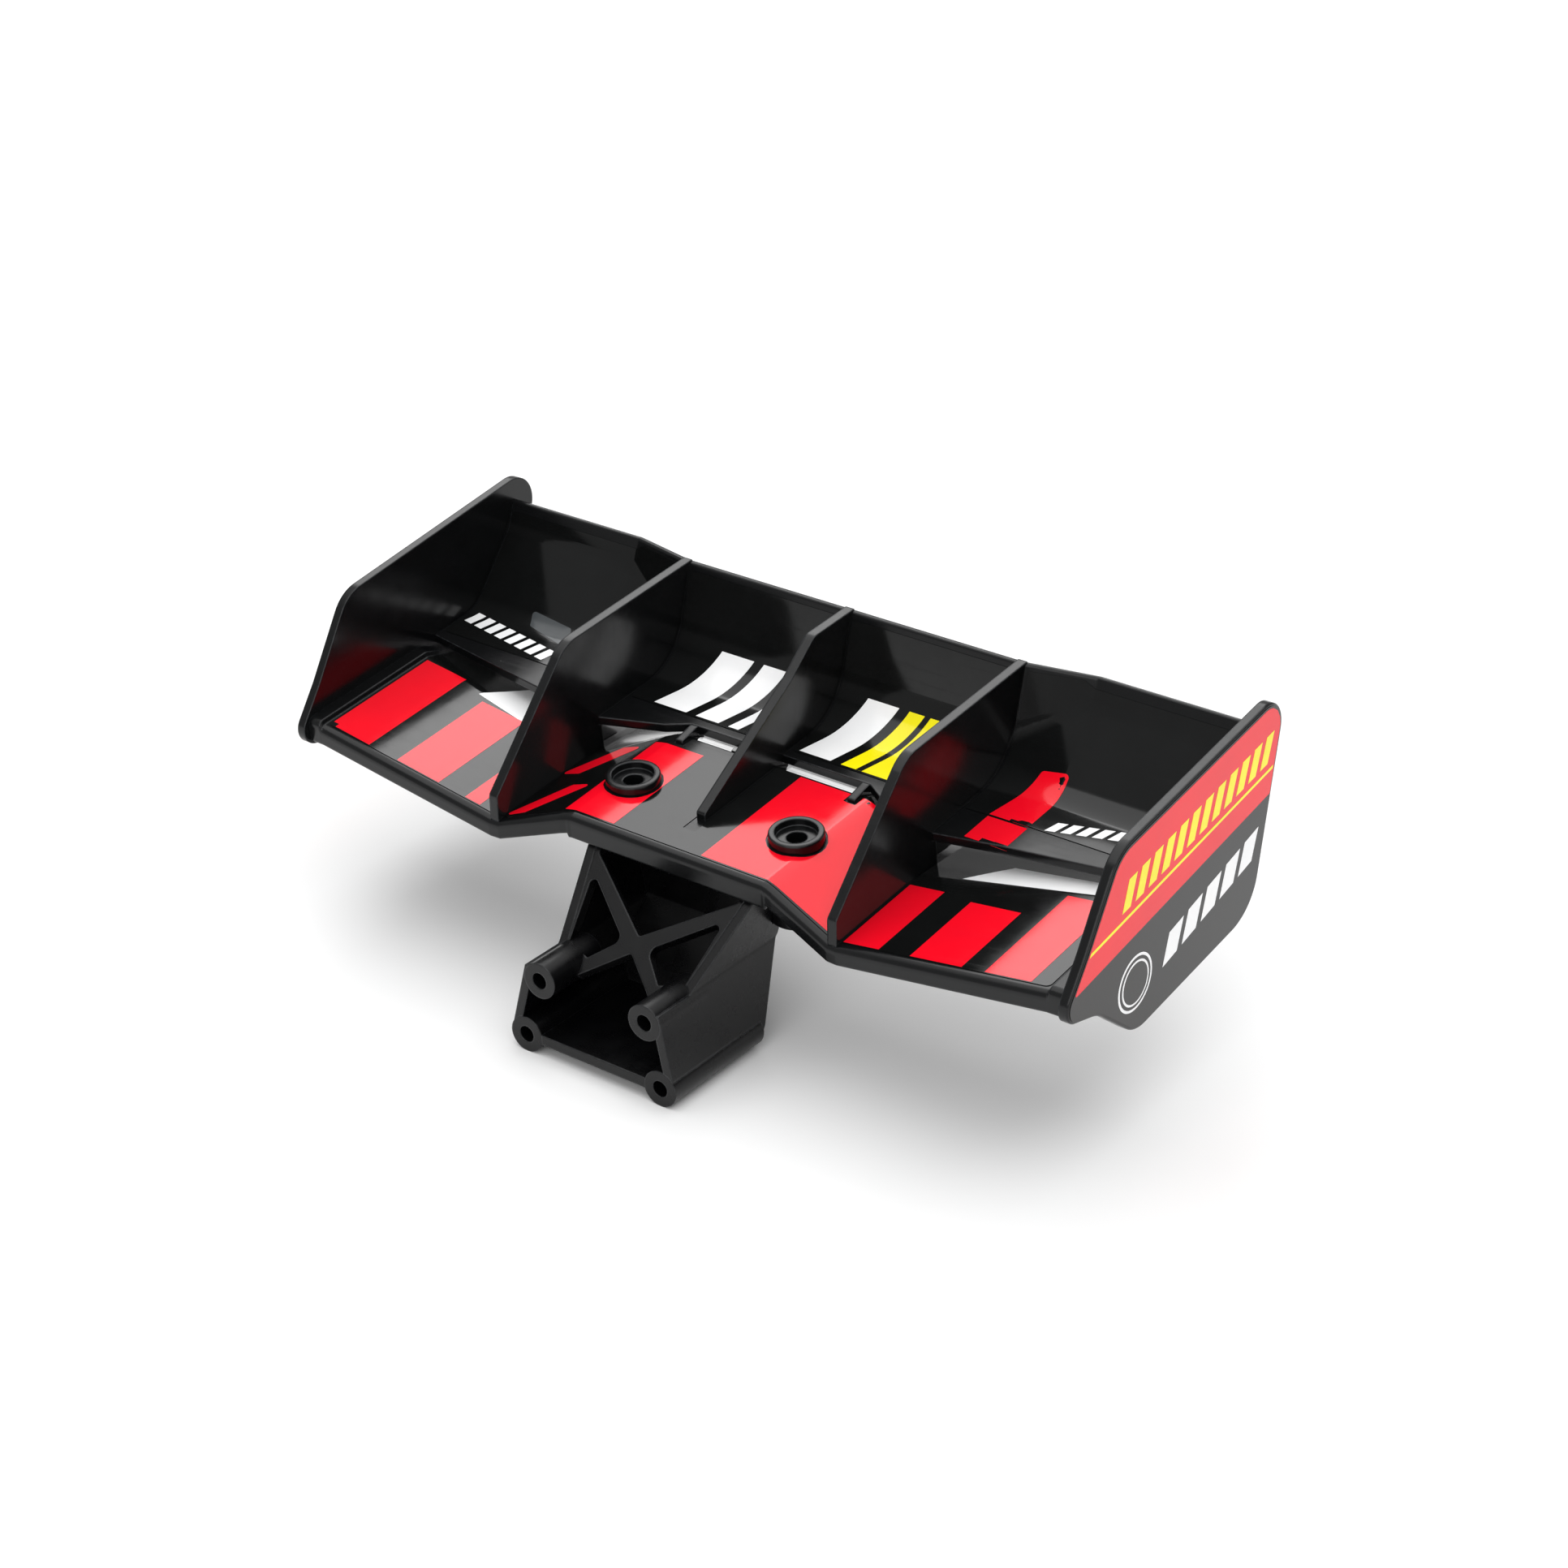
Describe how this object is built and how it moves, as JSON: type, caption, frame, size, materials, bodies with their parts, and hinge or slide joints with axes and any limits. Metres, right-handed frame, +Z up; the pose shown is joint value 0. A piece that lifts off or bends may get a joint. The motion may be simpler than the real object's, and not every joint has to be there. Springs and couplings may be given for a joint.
{
  "type": "radio-controlled buggy rear wing with wing mount",
  "caption": "Rear wing of a radio-controlled buggy: slotted deck and upswept flap between endplates, three fins, printed films, on a moulded tower mount with an X brace.",
  "frame": {"origin": "midway between the two upper tower bolt holes, on the front bolting face of the mount", "axes": "X spans the wing, Y runs to the rear, Z is up with the bolting face vertical and the deck pitched 6 degrees, rear edge high"},
  "size_m": [0.1634, 0.0815, 0.064],
  "materials": {
    "wing_plastic": "moulded black nylon, satin",
    "film_red": "printed vinyl film, gloss",
    "film_black": "printed vinyl film, gloss",
    "mount_plastic": "moulded black nylon, satin"
  },
  "bodies": {
    "root": {"wing_deck": "wing_plastic", "wing_flap": "wing_plastic", "fin_centre": "wing_plastic", "fin_left": "wing_plastic", "fin_right": "wing_plastic", "endplate_left": "wing_plastic", "endplate_right": "wing_plastic", "screw_cup_left": "wing_plastic", "screw_cup_right": "wing_plastic", "slot_tab_left": "wing_plastic", "slot_tab_right": "wing_plastic", "film_deck_centre": "film_red", "film_deck_left": "film_red", "film_deck_right": "film_red", "film_flap_inner_left": "film_black", "film_flap_inner_right": "film_black", "film_flap_outer_left": "film_black", "film_flap_outer_right": "film_black", "film_endplate_left": "film_red", "film_endplate_right": "film_red", "mount_boss_upper_left": "mount_plastic", "mount_boss_upper_right": "mount_plastic", "mount_boss_lower_left": "mount_plastic", "mount_boss_lower_right": "mount_plastic", "mount_wall_left": "mount_plastic", "mount_wall_right": "mount_plastic", "mount_floor": "mount_plastic", "mount_brace": "mount_plastic", "mount_back": "mount_plastic", "mount_pillar_left": "mount_plastic", "mount_pillar_right": "mount_plastic"}
  },
  "joints": []
}
